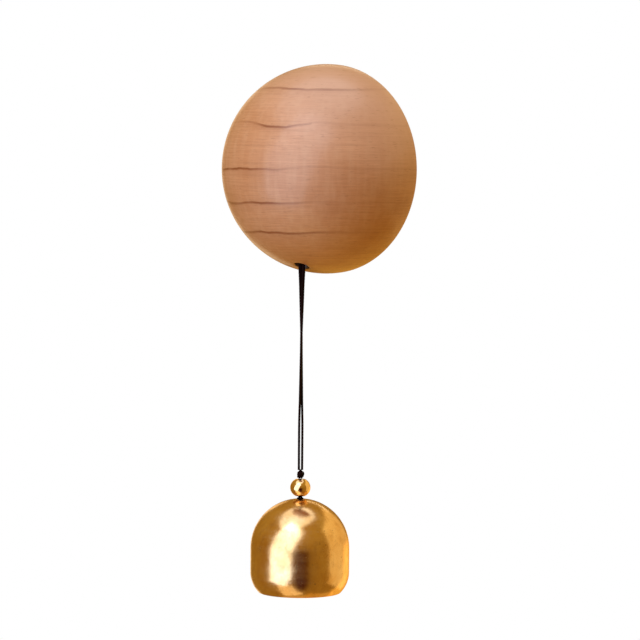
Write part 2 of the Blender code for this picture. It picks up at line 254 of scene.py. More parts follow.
def smooth_route(points, step):
    """Points about a step apart on a smooth curve through the route's own points."""
    fine = []
    for i in range(len(points) - 1):
        before = points[max(i - 1, 0)]
        start, end = points[i], points[i + 1]
        after = points[min(i + 2, len(points) - 1)]
        count = max(1, round((end - start).length / step))
        for k in range(count):
            t = k / count
            fine.append(
                0.5
                * (
                    2 * start
                    + (end - before) * t
                    + (2 * before - 5 * start + 4 * end - after) * t ** 2
                    + (3 * start - before - 3 * end + after) * t ** 3
                )
            )
    fine.append(points[-1])
    return fine


def close_tube(name, rings, closed=False):
    """A tube's skin through rings of points, with flat ends unless it runs back into itself."""
    sides = len(rings[0])
    points = [p for row in rings for p in row]
    faces = []
    for i in range(len(rings) - (0 if closed else 1)):
        j = (i + 1) % len(rings)
        for k in range(sides):
            m = (k + 1) % sides
            faces.append((i * sides + k, i * sides + m, j * sides + m, j * sides + k))
    if not closed:
        faces.append(tuple(range(sides)))
        faces.append(tuple((len(rings) - 1) * sides + k for k in reversed(range(sides))))
    obj = add_mesh(name, points, faces, sharp=60.0)
    fix_outward(obj)
    return obj


def ribbon(name, points, wide, width, thickness, sides=20, braid=0.04, pitch=0.9 * MM):
    """A flat braided cord through the points. wide gives the wide side's direction at each point."""
    rings = []
    travelled = 0.0
    for i, point in enumerate(points):
        ahead = points[min(i + 1, len(points) - 1)] - points[max(i - 1, 0)]
        tangent = ahead.normalized()
        across = wide[i] - tangent * wide[i].dot(tangent)
        across.normalize()
        through = tangent.cross(across)
        if i:
            travelled += (point - points[i - 1]).length
        row = []
        for k in range(sides):
            a = 2 * math.pi * k / sides
            c, s = math.cos(a), math.sin(a)
            square = (abs(c) ** STRAND_SQUARENESS + abs(s) ** STRAND_SQUARENESS) ** (-1 / STRAND_SQUARENESS)
            plait = math.sin(2 * math.pi * travelled / pitch + 3 * abs(a - math.pi))
            swell = square * (1 + braid * plait) / (1 + braid)
            row.append(point + across * (c * swell * width / 2) + through * (s * swell * thickness / 2))
        rings.append(row)
    return close_tube(name, rings)


def round_tube(name, points, radius, closed=False, sides=14, lay=0.05, pitch=0.8 * MM):
    """A round laid cord through the points, with its frame carried along the line."""
    count = len(points)
    tangents = []
    for i in range(count):
        before = points[i - 1] if (closed or i) else points[0]
        after = points[(i + 1) % count] if (closed or i < count - 1) else points[-1]
        tangents.append((after - before).normalized())
    across = tangents[0].orthogonal().normalized()
    rings = []
    travelled = 0.0
    for i, point in enumerate(points):
        across = (across - tangents[i] * across.dot(tangents[i])).normalized()
        through = tangents[i].cross(across)
        if i:
            travelled += (point - points[i - 1]).length
        row = []
        for k in range(sides):
            a = 2 * math.pi * k / sides
            r = radius * (1 - lay + lay * math.cos(2 * a + 2 * math.pi * travelled / pitch))
            row.append(point + across * (r * math.cos(a)) + through * (r * math.sin(a)))
        rings.append(row)
    return close_tube(name, rings, closed)


def join(name, objects):
    """One new object with the meshes of several, which it removes."""
    shape = bmesh.new()
    for obj in objects:
        shape.from_mesh(obj.data)
    mesh = bpy.data.meshes.new(name)
    shape.to_mesh(mesh)
    shape.free()
    for obj in objects:
        bpy.data.objects.remove(obj, do_unlink=True)
    mesh.shade_smooth()
    obj = bpy.data.objects.new(name, mesh)
    bpy.context.scene.collection.objects.link(obj)
    return obj


def cut_away(obj, cutters):
    """Takes the cutters out of obj for good and removes them."""
    for cutter in cutters:
        knife = obj.modifiers.new(cutter.name, "BOOLEAN")
        knife.operation = "DIFFERENCE"
        knife.solver = "EXACT"
        knife.object = cutter
    bpy.context.view_layer.update()
    result = obj.evaluated_get(bpy.context.evaluated_depsgraph_get())
    mesh = bpy.data.meshes.new_from_object(result)
    obj.modifiers.clear()
    obj.data = mesh
    for cutter in cutters:
        bpy.data.objects.remove(cutter, do_unlink=True)
    mesh.shade_smooth()
    mesh.set_sharp_from_angle(angle=math.radians(CUT_SHARP_ANGLE))


def dress(obj, look, replaces, body=None):
    """Gives a piece its material, the nodes that it stands for and the body that it rides on."""
    obj.data.materials.clear()
    obj.data.materials.append(look)
    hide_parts(*replaces)
    if body:
        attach(obj, body)


# ================= cords =================
def wide_side(angle):
    """The wide side's direction for an angle in degrees from +X."""
    a = math.radians(angle)
    return Vector((math.cos(a), math.sin(a), 0))


def strand_angle(drop):
    """The wide side's angle at a drop in millimetres below the mouth."""
    return STRAND_FACE_ANGLE + 90.0 * (1 - math.exp(-max(drop, 0.0) / STRAND_TURN_DROP))


def make_strands(look):
    """The two strands from the hole to the knot."""
    route = [Vector((x * MM, y * MM, MOUTH_Z - drop * MM)) for x, y, drop in STRAND_ROUTE]
    fine = smooth_route(route, STRAND_STEP)
    made = []
    for side, turn in (("right", 1), ("left", -1)):
        points = [Vector((turn * p.x, CORD_Y + turn * p.y, p.z)) for p in fine]
        wide = [wide_side(strand_angle((MOUTH_Z - p.z) / MM)) for p in points]
        strand = ribbon(f"strand_{side}", points, wide, STRAND_WIDTH, STRAND_THICKNESS)
        dress(strand, look, replaces=(f"cord_top_{side}", f"cord_{side}"))
        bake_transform(strand)
        made.append((strand, points))
    return made


def make_bight(look):
    """The cord's loop inside the bore, up one side, over the pin and down the other."""
    side = [Vector((x * MM, CORD_Y, MOUTH_Z + rise * MM)) for x, rise in LOOP_ROUTE]
    side += [Vector((LOOP_RADIUS, CORD_Y, PIN_Z - LOOP_STRAIGHT)), Vector((LOOP_RADIUS, CORD_Y, PIN_Z))]
    right = smooth_route(side, STRAND_STEP)
    left = [Vector((-p.x, p.y, p.z)) for p in reversed(right)]
    over = []
    for i in range(1, LOOP_TURN_POINTS):
        a = math.pi * i / LOOP_TURN_POINTS
        over.append(Vector((LOOP_RADIUS * math.cos(a), CORD_Y, PIN_Z + LOOP_RADIUS * math.sin(a))))
    points = right + over + left
    wide = []
    for p in points:
        rise = min(max((p.z - MOUTH_Z) / LOOP_TURN_RISE, 0.0), 1.0)
        wide.append(wide_side(STRAND_FACE_ANGLE + (90 - STRAND_FACE_ANGLE) * rise))
    # The bight is a little slimmer than the strands, so that it starts inside them.
    bight = ribbon("cord_bight", points, wide, 0.98 * STRAND_WIDTH, 0.96 * STRAND_THICKNESS)
    dress(bight, look, replaces=("cord_loop",))
    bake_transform(bight)


def trefoil(name, middle, radius, height, tube_radius, turn, lean=0.0):
    """A tied cord knot round a point: a trefoil drawn into a radius and a height."""
    reach = (radius - tube_radius) / 3
    rise = height / 2 - tube_radius
    c, s = math.cos(turn), math.sin(turn)
    points = []
    for i in range(KNOT_POINTS):
        t = 2 * math.pi * i / KNOT_POINTS
        x = reach * (math.sin(t) + 2 * math.sin(2 * t))
        y = reach * (math.cos(t) - 2 * math.cos(2 * t))
        z = -rise * math.sin(3 * t)
        points.append(middle + Vector((c * x - s * y + lean * z, s * x + c * y, z)))
    return round_tube(name, points, tube_radius, closed=True)


def tied_knot(name, stands_for, tube_radius, turn, lean=0.0):
    """A trefoil with the size and the place of one of the part's own knots."""
    low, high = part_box(stands_for)
    middle = (Vector(low) + Vector(high)) / 2
    return trefoil(name, middle, (high[0] - low[0]) / 2, high[2] - low[2], tube_radius, turn, lean)


def twisted_pair(name, low_z, high_z, radius):
    """The doubled cord where a hole or a knot holds it: two strands laid round each other on its axis."""
    low, high = Vector((0, CORD_Y, low_z)), Vector((0, CORD_Y, high_z))
    count = max(8, round((high - low).length / PAIR_STEP))
    strands = []
    for turn in (0.0, math.pi):
        points = []
        for i in range(count + 1):
            p = low.lerp(high, i / count)
            a = turn + 2 * math.pi * (p.z - low.z) / PAIR_PITCH
            points.append(p + Vector((math.cos(a), math.sin(a), 0)) * radius / 2)
        strands.append(round_tube(f"{name}_ply", points, radius / 2, sides=12))
    return join(name, strands)


def make_upper_knot(look):
    low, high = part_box("upper_knot")
    tied = tied_knot("upper_knot_tied", "upper_knot", 0.48 * MM, turn=2.5, lean=0.35)
    core = twisted_pair("upper_knot_core", low[2], high[2] + 0.35 * MM, 0.62 * MM)
    knot = join("upper_knot_tied", [tied, core])
    dress(knot, look, replaces=("upper_knot",), body="cord")
    return knot


def make_cord_in_bead(look):
    low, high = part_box("bead_cord")
    inside = twisted_pair("bead_cord_laid", low[2], high[2], CORD_RADIUS)
    dress(inside, look, replaces=("bead_cord",), body="cord")


def make_neck_knot(look):
    low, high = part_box("neck_knot")
    radius, height = 1.12 * MM, 1.25 * MM
    middle = Vector((0, CORD_Y, high[2] - height / 2))
    tied = trefoil("neck_tied", middle, radius, height, 0.46 * MM, turn=0.6)
    tail = twisted_pair("neck_tail", low[2], high[2] + 0.25 * MM, CORD_RADIUS)
    neck = join("neck_knot_tied", [tied, tail])
    dress(neck, look, replaces=("neck_knot",), body="neck")


def make_inner_knot(look):
    low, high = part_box("inner_knot")
    tied = tied_knot("inner_knot_loop", "inner_knot", 0.60 * MM, turn=0.9)
    core = twisted_pair("inner_knot_core", low[2], high[2], CORD_RADIUS)
    inner = join("inner_knot_tied", [tied, core])
    dress(inner, look, replaces=("inner_knot",), body="inner_knot")


def make_clapper_cord(look):
    low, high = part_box("clapper_cord")
    line = twisted_pair("clapper_cord_laid", low[2], high[2] + 0.5 * MM, CORD_RADIUS)
    dress(line, look, replaces=("clapper_cord",))
    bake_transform(line)
    stop = tied_knot("clapper_knot_tied", "clapper_knot", 0.34 * MM, turn=1.7)
    dress(stop, look, replaces=("clapper_knot",), body="clapper")


# ================= wood and metal pieces =================
def flared_cutter(name, radius, top):
    """The bore's cutter. It widens to a small rounded lip where it comes out of the ball."""
    steps = 72
    rings = []
    for grow, height in ((0.0, None), *BORE_LIP):
        row = []
        for i in range(steps):
            a = 2 * math.pi * i / steps
            x = (radius + grow * MM) * math.cos(a)
            y = CORD_Y + (radius + grow * MM) * math.sin(a)
            surface = -math.sqrt(BALL_RADIUS ** 2 - x ** 2 - (y - BALL_Y) ** 2)
            z = top if height is None else surface + height * MM
            row.append(Vector((x, y, z)))
        rings.append(row)
    return close_tube(name, rings)


def ball_outline():
    """The ball from its front to its flat back and into the magnet's pocket, as (r, height to the room)."""
    edge_z = BALL_EDGE - BALL_BACK
    edge_r = math.sqrt((BALL_RADIUS - BALL_EDGE) ** 2 - edge_z ** 2)
    edge_angle = math.degrees(math.atan2(edge_z, edge_r))
    pocket = MAGNET_HIGH[0] + GAP
    pocket_floor = MAGNET_THICKNESS + GAP - BALL_BACK
    outline = [(0.0, BALL_RADIUS)] + arc(0.0, 0.0, BALL_RADIUS, 90, edge_angle, 72)[1:]
    outline += arc(edge_r, edge_z, BALL_EDGE, edge_angle, -90, 8)[1:]
    outline += [(r, -BALL_BACK) for r in (0.8 * edge_r, 0.55 * edge_r, pocket + POCKET_EDGE)]
    outline += arc(pocket + POCKET_EDGE, POCKET_EDGE - BALL_BACK, POCKET_EDGE, -90, -180, 4)[1:]
    return outline + [(pocket, pocket_floor), (0.0, pocket_floor)]


def make_ball(look):
    # The outline's height runs towards the room, so it is turned round before it is laid over to the wall.
    ball = lathe("ball_turned", [(r, -z) for r, z in ball_outline()], BALL_STEPS, to_wall=True)
    move(ball, (0, BALL_Y, 0))
    bore = flared_cutter("bore_cutter", BORE_RADIUS, PIN_Z + LOOP_RADIUS + LOOP_HEADROOM)
    pin_radius = (PIN_HIGH[0] - PIN_LOW[0]) / 2 + GAP
    outline = [(0, 0), (pin_radius, 0), (pin_radius, -DRILL_LENGTH), (0, -DRILL_LENGTH)]
    drill = lathe("drill_cutter", outline, 40, to_wall=True)
    move(drill, (0, PIN_LOW[1] - GAP + DRILL_LENGTH, PIN_Z))
    cut_away(ball, (bore, drill))
    dress(ball, look, replaces=("wood_ball",), body="ball")


def rounded_disc(name, low, high, edge):
    """A disc that fills the space between two corners, with its axis along Y and its edges rounded."""
    radius = (high[0] - low[0]) / 2
    half = (high[1] - low[1]) / 2
    profile = [(0.0, half), (0.5 * radius, half), (0.86 * radius, half)]
    profile += arc(radius - edge, half - edge, edge, 90, 0, 6)
    profile += arc(radius - edge, edge - half, edge, 0, -90, 6)
    profile += [(0.6 * radius, -half), (0.0, -half)]
    disc = lathe(name, profile, to_wall=True)
    move(disc, (0, (low[1] + high[1]) / 2, 0))
    return disc


def make_wall_side(foam, steel, nickel):
    """The foam pad and the steel plate on the door, and the magnet in the ball's flat back."""
    pad = rounded_disc("adhesive_pad_foam", PAD_LOW, PAD_HIGH, edge=0.18 * MM)
    dress(pad, foam, replaces=("adhesive_pad",), body="wall_plate")
    plate = rounded_disc("steel_plate_stamped", PLATE_LOW, PLATE_HIGH, edge=0.28 * MM)
    dress(plate, steel, replaces=("steel_plate",), body="wall_plate")
    magnet = rounded_disc("magnet_plated", MAGNET_LOW, MAGNET_HIGH, edge=0.35 * MM)
    dress(magnet, nickel, replaces=("magnet",), body="ball")


def make_pin(look):
    """The steel pin across the bore, which the cord's loop hangs on."""
    radius = (PIN_HIGH[0] - PIN_LOW[0]) / 2
    half = (PIN_HIGH[1] - PIN_LOW[1]) / 2
    profile = [(0.0, half)] + arc(radius - PIN_EDGE, half - PIN_EDGE, PIN_EDGE, 90, 0, 4)
    profile += arc(radius - PIN_EDGE, PIN_EDGE - half, PIN_EDGE, 0, -90, 4) + [(0.0, -half)]
    pin = lathe("anchor_pin_steel", profile, 40, to_wall=True)
    move(pin, (0, (PIN_LOW[1] + PIN_HIGH[1]) / 2, PIN_Z))
    dress(pin, look, replaces=("anchor_pin",), body="ball")


def bored_ball(name, radius, hole, flatness, lip):
    """A ball with a hole along Z and a small rounded lip at each end of it."""
    end = math.degrees(math.acos((hole + lip) / radius))
    outer = arc(0.0, 0.0, radius, end, -end, 48, flatness)
    low = -flatness * radius * math.sin(math.radians(end))
    under = [(hole + 0.4 * lip, low + 0.15 * lip), (hole, low + lip)]
    over = [(r, -z) for r, z in reversed(under)]
    return lathe(name, outer + under + over, 96, ring=True)


def make_bead(look):
    radius = (BEAD_HIGH[0] - BEAD_LOW[0]) / 2
    bead = bored_ball("bead_polished", radius, BEAD_HOLE_RADIUS, BEAD_FLATNESS, lip=0.10 * MM)
    move(bead, (0, CORD_Y, (BEAD_LOW[2] + BEAD_HIGH[2]) / 2))
    dress(bead, look, replaces=("bead",), body="bead")


def make_clapper(look):
    radius = (CLAPPER_HIGH[0] - CLAPPER_LOW[0]) / 2
    clapper = bored_ball("clapper_turned", radius, CLAPPER_HOLE_RADIUS, 1.0, lip=0.15 * MM)
    move(clapper, (0, CORD_Y, (CLAPPER_LOW[2] + CLAPPER_HIGH[2]) / 2))
    dress(clapper, look, replaces=("clapper",), body="clapper")


def rim_lip(outer_end, inner_end):
    """The rounded rim between the outside's last point and the inside's first one."""
    a, b = Vector((*outer_end, 0)), Vector((*inner_end, 0))
    middle = (a + b) / 2
    down = Vector((-(b - a).y, (b - a).x, 0)).normalized()
    if down.y > 0:
        down = -down
    lip = []
    for i in range(1, 6):
        turn = math.pi * i / 6
        p = middle + (a - middle) * math.cos(turn) + down * (RIM_BULGE * math.sin(turn))
        lip.append((p.x, max(p.y, BELL_LOW[2])))
    return lip


def make_bell(look, inside_look):
    """The bell's shell: dome, straight wall and tuck on the outside, a rounded rim, and the inside."""
    radius = (BELL_HIGH[0] - BELL_LOW[0]) / 2
    inner = radius - BELL_WALL
    wall_bottom = BELL_LOW[2] + BELL_TUCK_DROP
    dome_z = wall_bottom + BELL_STRAIGHT
    tuck_r = radius - BELL_TUCK_RADIUS
    tuck_end = math.degrees(math.asin(BELL_TUCK_DROP / BELL_TUCK_RADIUS)) - RIM_MARGIN
    outer_hole = math.degrees(math.acos((CROWN_HOLE_RADIUS + CROWN_LIP) / radius))
    inner_hole = math.degrees(math.acos(CROWN_HOLE_RADIUS / inner))

    outside = arc(0.0, dome_z, radius, outer_hole, 0, 56)
    outside += [(radius, dome_z - BELL_STRAIGHT * i / 6) for i in range(1, 6)]
    outside += arc(tuck_r, wall_bottom, BELL_TUCK_RADIUS, 0, -tuck_end, 26)
    inside = arc(tuck_r, wall_bottom, BELL_TUCK_RADIUS - BELL_WALL, -tuck_end, 0, 20)
    rim = rim_lip(outside[-1], inside[0])
    inside += [(inner, wall_bottom + BELL_STRAIGHT * i / 4) for i in range(1, 4)]
    inside += arc(0.0, dome_z, inner, 0, inner_hole, 40)
    crown = [(CROWN_HOLE_RADIUS, outside[0][1] - CROWN_LIP)]
    bell = lathe("bell_spun", outside + rim + inside + crown, BELL_STEPS, ring=True)
    move(bell, (0, CORD_Y, 0))
    dress(bell, look, replaces=("bell",), body="bell")

    # The inside has a duller brass of its own. The faces lie in rows, in the outline's order.
    bell.data.materials.append(inside_look)
    first_inside = len(outside) + len(rim)
    past_inside = first_inside + len(inside) - 1
    for polygon in bell.data.polygons:
        if first_inside <= polygon.index // BELL_STEPS < past_inside:
            polygon.material_index = 1


def make_washer(look):
    """The washer under the crown, which carries the bell."""
    low, high = WASHER_LOW, WASHER_HIGH
    edge = WASHER_EDGE
    half = (high[2] - low[2]) / 2
    outer_r = (high[0] - low[0]) / 2 - edge
    inner_r = WASHER_HOLE_RADIUS + edge
    profile = arc(outer_r, half - edge, edge, 90, 0, 4) + arc(outer_r, edge - half, edge, 0, -90, 4)
    profile += arc(inner_r, edge - half, edge, -90, -180, 4) + arc(inner_r, half - edge, edge, 180, 90, 4)
    washer = lathe("washer_brass", profile, 72, ring=True)
    move(washer, (0, CORD_Y, (low[2] + high[2]) / 2))
    dress(washer, look, replaces=("washer",), body="bell")


# ================= materials =================
def new_material(name, **sockets):
    """A Principled material. Each keyword sets the socket of that name, with a space for an underscore."""
    made = bpy.data.materials.new(name)
    made.use_nodes = True
    tree = made.node_tree
    shader = tree.nodes["Principled BSDF"]
    for key, value in sockets.items():
        shader.inputs[key.replace("_", " ")].default_value = value
    return made, tree, shader


def node(tree, kind, inputs=None, **settings):
    """A new node, with each input linked to the socket or set to the value given for it."""
    made = tree.nodes.new(kind)
    for key, value in settings.items():
        setattr(made, key, value)
    for key, value in (inputs or {}).items():
        if isinstance(value, bpy.types.NodeSocket):
            tree.links.new(value, made.inputs[key])
        else:
            made.inputs[key].default_value = value
    return made


def vector_math(tree, operation, a, b=None):
    inputs = {0: a} if b is None else {0: a, 1: b}
    return node(tree, "ShaderNodeVectorMath", inputs, operation=operation)


def place_of(tree, scale, origin=(0, 0, 0)):
    """The place on a piece from an origin, in millimetres times scale. Another origin gives other noise."""
    coords = node(tree, "ShaderNodeTexCoord").outputs["Object"]
    from_origin = vector_math(tree, "ADD", coords, tuple(-v for v in origin)).outputs[0]
    return vector_math(tree, "MULTIPLY", from_origin, tuple(s / MM for s in scale)).outputs[0]


def noise(tree, vector, detail=4.0, rough=0.55, distortion=0.0):
    inputs = {"Vector": vector, "Scale": 1.0, "Detail": detail, "Roughness": rough, "Distortion": distortion}
    return node(tree, "ShaderNodeTexNoise", inputs).outputs["Fac"]


def cell_distance(tree, vector):
    """The distance to the middle of the nearest of scattered cells."""
    return node(tree, "ShaderNodeTexVoronoi", {"Vector": vector, "Scale": 1.0}).outputs["Distance"]


def calc(tree, operation, a, b=0.0):
    return node(tree, "ShaderNodeMath", {0: a, 1: b}, operation=operation).outputs[0]


def weighted(tree, a, weight_a, b, weight_b):
    """The weighted sum of two values."""
    return calc(tree, "ADD", calc(tree, "MULTIPLY", a, weight_a), calc(tree, "MULTIPLY", b, weight_b))


def spread(tree, value, low, high, to_low=0.0, to_high=1.0):
    """The value carried from one range to another and held within it."""
    inputs = {"Value": value, "From Min": low, "From Max": high, "To Min": to_low, "To Max": to_high}
    return node(tree, "ShaderNodeMapRange", inputs, clamp=True).outputs["Result"]


def ramp(tree, value, stops):
    """A grey level that follows straight lines between stops, each a position and a level."""
    made = node(tree, "ShaderNodeValToRGB", {"Fac": value})
    elements = made.color_ramp.elements
    while len(elements) < len(stops):
        elements.new(0.5)
    for element, (position, level) in zip(elements, stops):
        element.position = position
        element.color = (level, level, level, 1.0)
    return made.outputs["Color"]


def mix(tree, factor, a, b, kind="MIX"):
    """A colour mix. The node's inputs 0, 6 and 7 are its factor and colours, and output 2 is the result."""
    made = node(tree, "ShaderNodeMix", data_type="RGBA", blend_type=kind)
    for index, value in ((0, factor), (6, a), (7, b)):
        if isinstance(value, bpy.types.NodeSocket):
            tree.links.new(value, made.inputs[index])
        else:
            made.inputs[index].default_value = (*value, 1.0) if isinstance(value, tuple) else value
    return made.outputs[2]


def finish_material(tree, shader, base, roughness, relief, strength, distance):
    """Links the colour, the roughness and a bump of the relief to the shader."""
    tree.links.new(base, shader.inputs["Base Color"])
    tree.links.new(roughness, shader.inputs["Roughness"])
    bump = node(tree, "ShaderNodeBump", {"Height": relief, "Strength": strength, "Distance": distance})
    tree.links.new(bump.outputs["Normal"], shader.inputs["Normal"])


# Each growth line: its height above the ball's middle, how dark it is, where along the grain it is
# darkest, how far that stretch reaches to each side, and how far it dips there. All but the second in mm.
GROWTH_LINES = (
    (22.9, 0.80, -4.0, 13.0, 0.1),
    (13.2, 0.90, -14.0, 7.0, 1.0),
    (0.6, 0.95, -25.0, 10.0, 0.7),
    (-9.1, 0.90, -20.0, 11.0, 0.5),
    (-17.7, 0.85, -13.0, 14.0, 0.3),
)
# A growth line across its own 6 mm: soft below it, a dark core, and sharp above it.
GROWTH_LINE_STOPS = ((0.0, 0.0), (0.40, 0.18), (0.464, 1.0), (0.514, 1.0), (0.555, 0.04), (1.0, 0.0))
GRAIN_AZIMUTH = 35.0           # the fibres run this many degrees from +X


def growth_line(tree, layer, along, line):
    """How dark one growth line is at a place. It is faint away from its dark stretch."""
    height, dark, middle, reach, dip = line
    away = calc(tree, "ABSOLUTE", calc(tree, "SUBTRACT", along, middle))
    stretch = spread(tree, away, 1.5 * reach, 0.4 * reach)
    lowered = calc(tree, "MULTIPLY", stretch, dip)
    offset = calc(tree, "ADD", calc(tree, "SUBTRACT", layer, height), lowered)
    shape = ramp(tree, spread(tree, offset, -3.0, 3.0), GROWTH_LINE_STOPS)
    return calc(tree, "MULTIPLY", shape, spread(tree, stretch, 0.0, 1.0, 0.20 * dark, dark))


def growth_lines(tree, height, along):
    """How dark the growth lines are together, on layers that wave a little and fade along the grain."""
    wave = noise(tree, place_of(tree, (0.055, 0.055, 0.03)), detail=2.0, rough=0.4)
    ripple = noise(tree, place_of(tree, (0.25, 0.25, 0.10)), detail=2.0)
    wave, ripple = calc(tree, "SUBTRACT", wave, 0.5), calc(tree, "SUBTRACT", ripple, 0.5)
    shift = weighted(tree, wave, 2.4, ripple, 0.45)
    layer = calc(tree, "ADD", height, shift)
    growth = 0.0
    for line in GROWTH_LINES:
        growth = calc(tree, "MAXIMUM", growth_line(tree, layer, along, line), growth)
    fade = spread(tree, along, -10.0, 26.0, 1.0, 0.55)
    patches = noise(tree, place_of(tree, (0.11, 0.11, 0.2)), detail=2.0)
    patchy = spread(tree, patches, 0.35, 0.6, 0.70, 1.0)
    return calc(tree, "MULTIPLY", calc(tree, "MULTIPLY", growth, fade), patchy)


def bore_painted_shade(tree, height):
    """Painted shade: where the bore's wall is painted near black, for the shade inside the hole."""
    from_cord = place_of(tree, (1, 1, 0), (0, CORD_Y, 0))
    reach = vector_math(tree, "LENGTH", from_cord).outputs["Value"]
    painted_shade = spread(tree, reach, BORE_RADIUS / MM + 0.16, BORE_RADIUS / MM + 0.03)
    return calc(tree, "MULTIPLY", painted_shade, calc(tree, "LESS_THAN", height, 0.0))


def wood_material():
    """Oiled beech. The growth layers lie flat, one over another, and the fibres run across the ball."""
    made, tree, shader = new_material(
        "beech", Coat_Weight=0.62, Coat_Roughness=0.22, Coat_IOR=1.5, Specular_IOR_Level=0.60
    )
    plain = place_of(tree, (1, 1, 1), (0, BALL_Y, 0))
    height = node(tree, "ShaderNodeSeparateXYZ", {0: plain}).outputs[2]
    grain = math.radians(GRAIN_AZIMUTH)
    grain_way = (math.cos(grain), math.sin(grain), 0.0)
    along = vector_math(tree, "DOT_PRODUCT", plain, grain_way).outputs["Value"]
    line = growth_lines(tree, height, along)

    broad = noise(tree, place_of(tree, (0.035, 0.035, 0.09)), detail=2.0, rough=0.4)
    fibre = noise(tree, place_of(tree, (0.07, 0.07, 2.3)), detail=5.0, rough=0.62)
    fine = noise(tree, place_of(tree, (0.35, 0.35, 7.0)), detail=3.0, rough=0.6)
    figure = noise(tree, place_of(tree, (0.55, 0.55, 0.07)), detail=3.0)
    pore = noise(tree, place_of(tree, (0.9, 0.9, 9.0), (1.3, 0.2, 0.4)), detail=1.0)
    pores = spread(tree, pore, 0.69, 0.78)
    fleck = noise(tree, place_of(tree, (0.55, 0.55, 3.2), (3.1, 1.2, 5.4)), detail=0.0)
    flecks = spread(tree, fleck, 0.70, 0.80)

    base = mix(tree, spread(tree, broad, 0.30, 0.70), (0.575, 0.276, 0.130), (0.685, 0.365, 0.202))
    base = mix(tree, spread(tree, fibre, 0.30, 0.72, 0.0, 0.55), base, (0.41, 0.185, 0.080))
    base = mix(tree, spread(tree, fine, 0.42, 0.75, 0.0, 0.35), base, (0.37, 0.155, 0.065))
    base = mix(tree, spread(tree, figure, 0.42, 0.72, 0.0, 0.30), base, (0.66, 0.40, 0.24))
    # Painted light: the wood is paler towards the top of the ball and along the grain.
    painted_light = weighted(tree, along, 0.50, height, 0.90)
    base = mix(tree, spread(tree, painted_light, 4.0, 24.0, 0.0, 0.72), base, (0.67, 0.42, 0.295))
    # Painted warm shade: the wood is darker and more golden towards the bottom and along the grain.
    painted_warm_shade = weighted(tree, along, 0.55, height, -0.85)
    base = mix(tree, spread(tree, painted_warm_shade, 7.0, 24.0), base, (0.82, 0.63, 0.22), kind="MULTIPLY")
    base = mix(tree, calc(tree, "MULTIPLY", line, 0.90), base, (0.190, 0.036, 0.003))
    base = mix(tree, calc(tree, "MULTIPLY", pores, 0.18), base, (0.16, 0.050, 0.016))
    base = mix(tree, calc(tree, "MULTIPLY", flecks, 0.22), base, (0.24, 0.085, 0.028))
    # Painted shade: the bore's wall is painted near black.
    base = mix(tree, bore_painted_shade(tree, height), base, (0.045, 0.007, 0.005))

    relief = weighted(tree, fibre, 0.6, fine, 0.35)
    relief = calc(tree, "SUBTRACT", relief, weighted(tree, pores, 0.5, line, 0.25))
    roughness = spread(tree, fibre, 0.3, 0.7, 0.40, 0.56)
    finish_material(tree, shader, base, roughness, relief, 0.55, 0.06 * MM)
    return made


def brass_material(name, bright, deep, rough, ring_depth, spots):
    """Spun brass: fine rings round the axis, mottled colour, and a few dark spots and short scratches."""
    made, tree, shader = new_material(name, Metallic=1.0)
    mottle = noise(tree, place_of(tree, (0.16, 0.16, 0.12), (2.0, 0.0, 7.0)), detail=5.0, rough=0.6)
    cloud = noise(tree, place_of(tree, (0.55, 0.55, 0.45), (5.0, 1.0, 3.0)), detail=4.0, rough=0.65)
    rings = noise(tree, place_of(tree, (0.02, 0.02, 9.0)), detail=4.0, rough=0.7)
    bands = noise(tree, place_of(tree, (0.01, 0.01, 0.9)), detail=2.0)
    rare = noise(tree, place_of(tree, (0.2, 0.2, 0.2), (9.0, 4.0, 1.0)), detail=1.0)
    dots = spread(tree, cell_distance(tree, place_of(tree, (0.42, 0.42, 0.42))), 0.10, 0.05)
    dots = calc(tree, "MULTIPLY", dots, spread(tree, rare, 0.50, 0.60))
    scratch = noise(tree, place_of(tree, (2.6, 2.6, 0.30), (1.0, 8.0, 2.0)), detail=1.0, distortion=0.6)
    scratches = spread(tree, scratch, 0.735, 0.765)
    scratches = calc(tree, "MULTIPLY", scratches, spread(tree, rare, 0.42, 0.52))

    dull = tuple(0.62 * c for c in deep)
    base = mix(tree, spread(tree, mottle, 0.35, 0.68), bright, deep)
    base = mix(tree, spread(tree, cloud, 0.50, 0.78, 0.0, 0.35 * spots), base, dull)
    base = mix(tree, calc(tree, "MULTIPLY", dots, 0.65 * spots), base, (0.16, 0.07, 0.02))
    base = mix(tree, calc(tree, "MULTIPLY", scratches, 0.45 * spots), base, (0.25, 0.13, 0.04))
    roughness = spread(tree, cloud, 0.3, 0.75, rough, rough + 0.10)
    roughness = calc(tree, "ADD", roughness, calc(tree, "MULTIPLY", dots, 0.2))
    roughness = calc(tree, "ADD", roughness, spread(tree, bands, 0.35, 0.7, -0.02, 0.05))
    relief = calc(tree, "ADD", rings, calc(tree, "MULTIPLY", bands, 1.2))
    relief = calc(tree, "ADD", relief, calc(tree, "MULTIPLY", cloud, 2.2 * spots))
    relief = calc(tree, "SUBTRACT", relief, weighted(tree, dots, 0.8 * spots, scratches, 0.5 * spots))
    finish_material(tree, shader, base, roughness, relief, 1.0, ring_depth)
    return made


